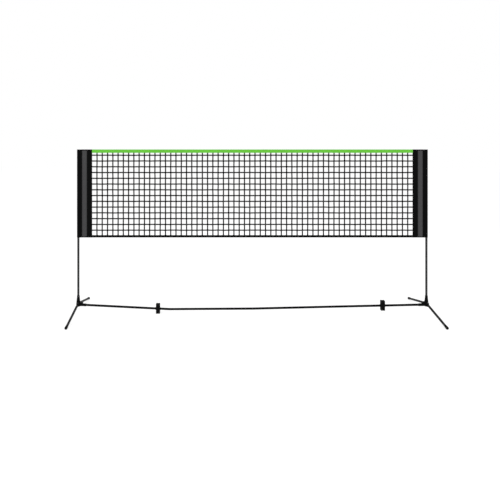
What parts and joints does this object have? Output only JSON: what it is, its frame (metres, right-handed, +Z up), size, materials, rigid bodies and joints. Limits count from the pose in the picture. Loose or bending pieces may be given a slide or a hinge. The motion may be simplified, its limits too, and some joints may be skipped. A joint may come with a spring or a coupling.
{
  "type": "portable volleyball net on poles",
  "caption": "Free-standing volleyball and badminton net on telescopic poles with folding legs and a jointed ground bar.",
  "frame": {"origin": "on the floor, midway between the two poles", "axes": "+X along the net to the right as seen from the front, +Y to the rear, +Z up"},
  "size_m": [3.012, 1.0322, 1.4],
  "materials": {
    "black_tube": "satin powder coat",
    "black_plastic": "fine moulded grain",
    "black_rubber": "matt",
    "black_cloth": "plain-woven polyester",
    "grey_webbing": "twill webbing",
    "green_tape": "plain-woven tape",
    "net_twine": "braided twine",
    "zinc_fasteners": "blackened zinc plate"
  },
  "bodies": {
    "base": {"left_hub_front_shell": "black_plastic", "left_hub_rear_shell": "black_plastic", "left_hub_screws": "zinc_fasteners", "left_pivot_bolts": "zinc_fasteners", "left_pivot_nuts": "zinc_fasteners", "left_lower_pole": "black_tube", "right_hub_front_shell": "black_plastic", "right_hub_rear_shell": "black_plastic", "right_hub_screws": "zinc_fasteners", "right_pivot_bolts": "zinc_fasteners", "right_pivot_nuts": "zinc_fasteners", "right_lower_pole": "black_tube", "beam_left_outer": "black_tube", "beam_left_inner": "black_tube", "beam_right_inner": "black_tube", "beam_right_outer": "black_tube", "beam_joiners": "black_tube"},
    "net": {"left_pole_sleeve": "black_cloth", "left_side_stripe": "grey_webbing", "left_side_hem": "black_cloth", "left_lock_expander": "black_plastic", "right_pole_sleeve": "black_cloth", "right_side_stripe": "grey_webbing", "right_side_hem": "black_cloth", "right_lock_expander": "black_plastic", "top_tape": "green_tape", "top_cord": "net_twine", "foot_tape": "black_cloth", "foot_cord": "net_twine", "netting_uprights": "net_twine", "netting_cross_lines": "net_twine"},
    "left_front_leg": {"left_front_leg_knuckle": "black_plastic", "left_front_leg_tube": "black_tube", "left_front_foot_cap": "black_rubber"},
    "left_rear_leg": {"left_rear_leg_knuckle": "black_plastic", "left_rear_leg_tube": "black_tube", "left_rear_foot_cap": "black_rubber"},
    "left_support_block": {"left_block_front_half": "black_plastic", "left_block_rear_half": "black_plastic", "left_block_screws": "zinc_fasteners"},
    "left_upper_pole": {"left_upper_pole": "black_tube", "left_pole_top_cap": "black_plastic", "left_lock_stud": "black_plastic"},
    "right_front_leg": {"right_front_leg_knuckle": "black_plastic", "right_front_leg_tube": "black_tube", "right_front_foot_cap": "black_rubber"},
    "right_rear_leg": {"right_rear_leg_knuckle": "black_plastic", "right_rear_leg_tube": "black_tube", "right_rear_foot_cap": "black_rubber"},
    "right_support_block": {"right_block_front_half": "black_plastic", "right_block_rear_half": "black_plastic", "right_block_screws": "zinc_fasteners"},
    "right_upper_pole": {"right_upper_pole": "black_tube", "right_pole_top_cap": "black_plastic", "right_lock_stud": "black_plastic"}
  },
  "joints": [
    {"name": "net_height", "type": "slide", "parent": "base", "child": "net", "axis": [0, 0, 1], "range_m": [-0.38, 0.155]},
    {"name": "left_pole_twist", "type": "hinge", "parent": "net", "child": "left_upper_pole", "pos_m": [-1.489, 0, 1], "axis": [0, 0, 1], "range_deg": [0, 90]},
    {"name": "left_front_leg_fold", "type": "hinge", "parent": "base", "child": "left_front_leg", "pos_m": [-1.489, -0.036, 0.079], "axis": [0, 0, 1], "range_deg": [0, 90]},
    {"name": "left_rear_leg_fold", "type": "hinge", "parent": "base", "child": "left_rear_leg", "pos_m": [-1.489, 0.036, 0.079], "axis": [0, 0, 1], "range_deg": [-90, 0]},
    {"name": "right_pole_twist", "type": "hinge", "parent": "net", "child": "right_upper_pole", "pos_m": [1.489, 0, 1], "axis": [0, 0, 1], "range_deg": [0, 90]},
    {"name": "right_front_leg_fold", "type": "hinge", "parent": "base", "child": "right_front_leg", "pos_m": [1.489, -0.036, 0.079], "axis": [0, 0, 1], "range_deg": [-90, 0]},
    {"name": "right_rear_leg_fold", "type": "hinge", "parent": "base", "child": "right_rear_leg", "pos_m": [1.489, 0.036, 0.079], "axis": [0, 0, 1], "range_deg": [0, 90]},
    {"name": "left_block_slide", "type": "slide", "parent": "base", "child": "left_support_block", "axis": [0.9987, 0, -0.05], "range_m": [-0.56, 0]},
    {"name": "right_block_slide", "type": "slide", "parent": "base", "child": "right_support_block", "axis": [0.9997, 0, 0.0225], "range_m": [-0.36, 0.27]}
  ]
}
